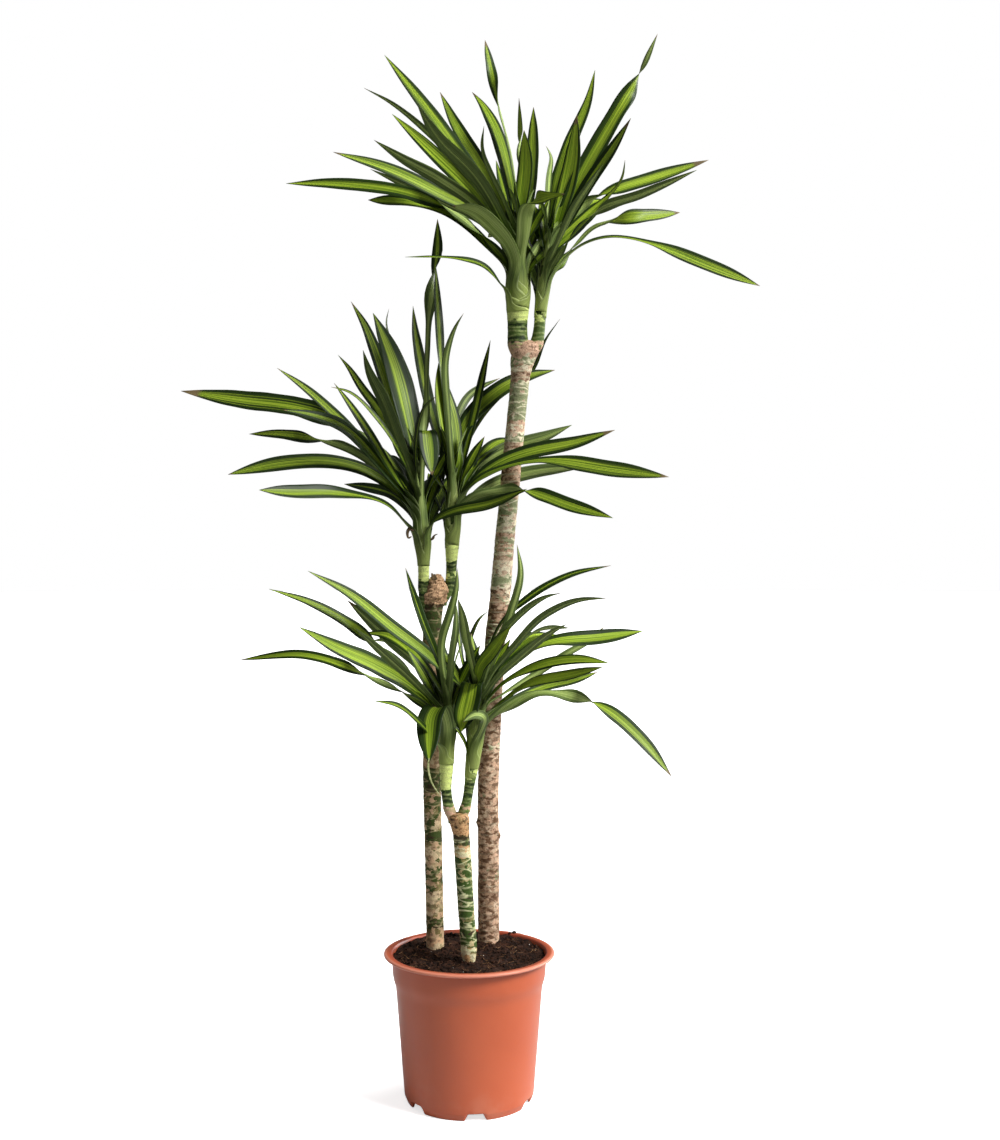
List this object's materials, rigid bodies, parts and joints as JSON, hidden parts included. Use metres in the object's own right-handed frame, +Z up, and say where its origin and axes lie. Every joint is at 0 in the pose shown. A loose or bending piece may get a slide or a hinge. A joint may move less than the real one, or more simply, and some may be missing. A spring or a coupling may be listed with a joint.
{
  "type": "potted corn plant",
  "caption": "Tall potted house plant: bare upright canes of stepped height, each topped by tufts of narrow, striped, arching leaves, standing in peat in a round tapered plastic pot.",
  "frame": {"origin": "on the pot's axis, on the surface that its foot stands on", "axes": "+Z up; the pictured side faces -Y, with +X to its right"},
  "size_m": [0.837, 0.4835, 1.5471],
  "materials": {
    "pot": "satin, terracotta colour",
    "soil": "moist crumbly peat with a few white specks",
    "bark_tall": "dull tan bark, greener towards the top, with pale leaf scars",
    "bark_middle": "dull green-brown bark with tan patches",
    "bark_short": "green bark with thin pale rings",
    "leaf": "leathery and softly glossy: dark green edges, lime centre stripe, paler underside"
  },
  "bodies": {
    "root": {"pot": "pot", "soil": "soil", "cane_tall": "bark_tall", "cane_middle": "bark_middle", "cane_short": "bark_short", "crown_tall": "leaf", "crown_middle": "leaf", "crown_short": "leaf"}
  },
  "joints": []
}
